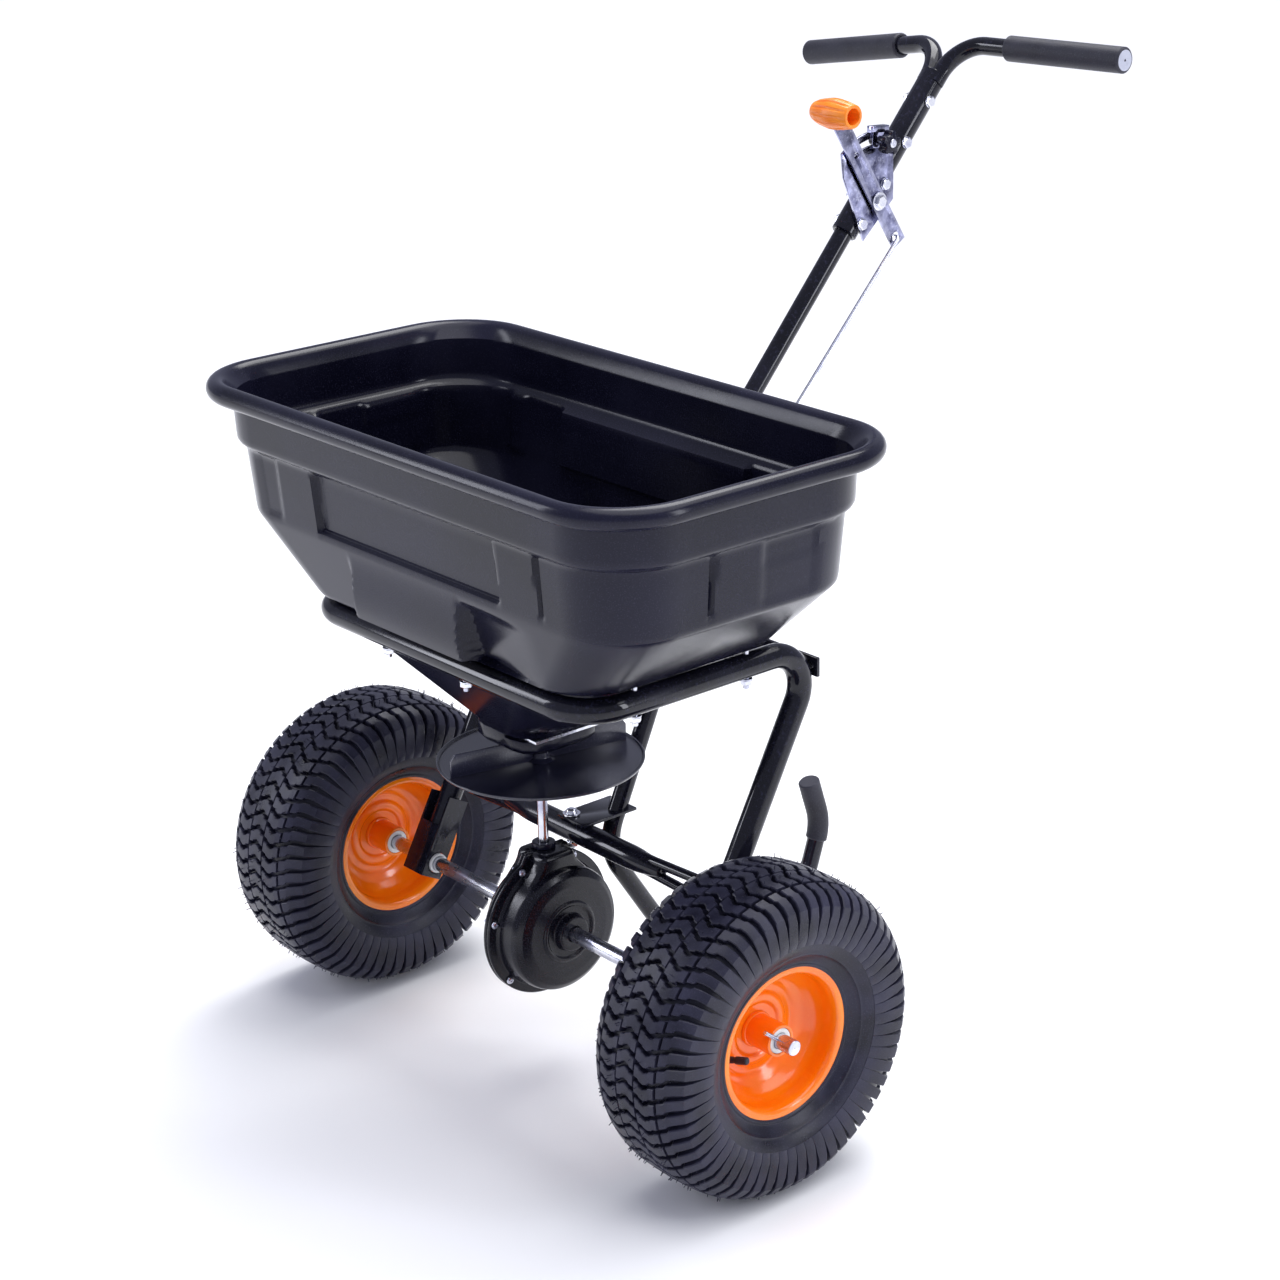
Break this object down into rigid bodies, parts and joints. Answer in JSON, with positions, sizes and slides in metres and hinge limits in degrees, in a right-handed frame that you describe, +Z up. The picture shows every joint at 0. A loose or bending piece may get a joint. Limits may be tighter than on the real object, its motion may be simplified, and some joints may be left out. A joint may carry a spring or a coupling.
{
  "type": "garden spreader",
  "caption": "Push-behind broadcast spreader with an open black hopper, tube frame and handle, pneumatic turf wheels on orange rims, a geared impeller, and a rate lever on the handle.",
  "frame": {"origin": "on the ground, at the centre of the machine's footprint box", "axes": "+Z up; +X toward the drive wheel, on the left as seen from the front; +Y toward the operator and the grips; the machine travels toward -Y"},
  "size_m": [0.757, 0.806, 1.0328],
  "materials": {
    "black_tube": "gloss",
    "black_plastic": "satin",
    "tyre": "matte",
    "grip_rubber": "matte",
    "zinc": "bright zinc plate",
    "orange_paint": "gloss",
    "orange_plastic": "satin",
    "white_plastic": "satin"
  },
  "bodies": {
    "frame": {"hopper_frame": "black_tube", "right_axle_bracket": "black_tube", "left_axle_bracket": "black_tube", "crossbar": "black_tube", "handle_pole_and_stand": "black_tube", "stand_plate": "black_tube", "rear_strap": "black_tube", "handle_bar_right_half": "black_tube", "handle_bar_left_half": "black_tube", "gearbox_right_half": "black_plastic", "gearbox_left_half": "black_plastic", "neck_bush": "black_plastic", "hopper": "black_plastic", "gate_guide": "black_plastic", "stand_tip_sleeve": "grip_rubber", "right_grip": "grip_rubber", "left_grip": "grip_rubber", "hopper_bolt_1": "zinc", "hopper_bolt_2": "zinc", "hopper_bolt_3": "zinc", "hopper_bolt_4": "zinc", "hopper_bolt_5": "zinc", "hopper_bolt_6": "zinc", "stand_plate_bolt": "zinc", "right_strap_bolt": "zinc", "left_strap_bolt": "zinc", "pole_bolt": "zinc", "handle_bolt_1": "zinc", "handle_bolt_2": "zinc", "handle_bolt_3": "zinc", "handle_bolt_4": "zinc", "rate_plate": "zinc", "lever_pivot_bolt": "zinc", "right_axle_bush": "white_plastic", "left_axle_bush": "white_plastic"},
    "drive_axle": {"axle": "zinc", "crown_gear": "black_plastic", "crown_gear_pin": "zinc", "right_tyre": "tyre", "right_rim_outer_half": "orange_paint", "right_rim_inner_half": "orange_paint", "right_hub_bush": "white_plastic", "right_valve_stem": "grip_rubber", "drive_pin": "zinc", "wheel_keeper_pin": "zinc"},
    "left_wheel": {"left_tyre": "tyre", "left_rim_outer_half": "orange_paint", "left_rim_inner_half": "orange_paint", "left_hub_bush": "white_plastic", "left_valve_stem": "grip_rubber"},
    "spinner": {"impeller_shaft": "zinc", "pinion": "black_plastic", "impeller": "black_plastic", "impeller_cotter": "zinc"},
    "gate": {"gate": "zinc"},
    "control_rod": {"control_rod": "zinc"},
    "gate_lever": {"gate_lever": "zinc", "lever_knob": "orange_plastic"},
    "rate_stop": {"rate_stop": "zinc"},
    "stop_knob": {"rate_stop_knob": "black_plastic"}
  },
  "joints": [
    {"name": "axle_spin", "type": "hinge", "parent": "frame", "child": "drive_axle", "pos_m": [0, -0.20569, 0.165], "axis": [1, 0, 0], "continuous": true},
    {"name": "left_wheel_spin", "type": "hinge", "parent": "drive_axle", "child": "left_wheel", "pos_m": [-0.315, -0.20569, 0.165], "axis": [1, 0, 0], "continuous": true},
    {"name": "impeller_spin", "type": "hinge", "parent": "frame", "child": "spinner", "pos_m": [-0.008, -0.20569, 0.346], "axis": [0, 0, 1], "continuous": true},
    {"name": "lever_swing", "type": "hinge", "parent": "frame", "child": "gate_lever", "pos_m": [0.02125, 0.24742, 0.86643], "axis": [1, 0, 0], "range_deg": [-10, 9]},
    {"name": "gate_slide", "type": "slide", "parent": "frame", "child": "gate", "axis": [0, 1, 0], "range_m": [-0.0125, 0.0115]},
    {"name": "rod_swing", "type": "hinge", "parent": "gate", "child": "control_rod", "pos_m": [0.0205, -0.1287, 0.404], "axis": [1, 0, 0], "range_deg": [-1, 1]},
    {"name": "rate_stop_swing", "type": "hinge", "parent": "frame", "child": "rate_stop", "pos_m": [0.019, 0.24742, 0.86643], "axis": [1, 0, 0], "range_deg": [-9, 3]},
    {"name": "stop_knob_turn", "type": "hinge", "parent": "rate_stop", "child": "stop_knob", "pos_m": [0.03, 0.25057, 0.92935], "axis": [1, 0, 0], "range_deg": [0, 180]}
  ],
  "couplings": [
    {"joint": "impeller_spin", "follows": "axle_spin", "ratio": -5},
    {"joint": "gate_slide", "follows": "lever_swing", "m_per_rad": 0.0701},
    {"joint": "rod_swing", "follows": "lever_swing", "ratio": 0.06615}
  ]
}
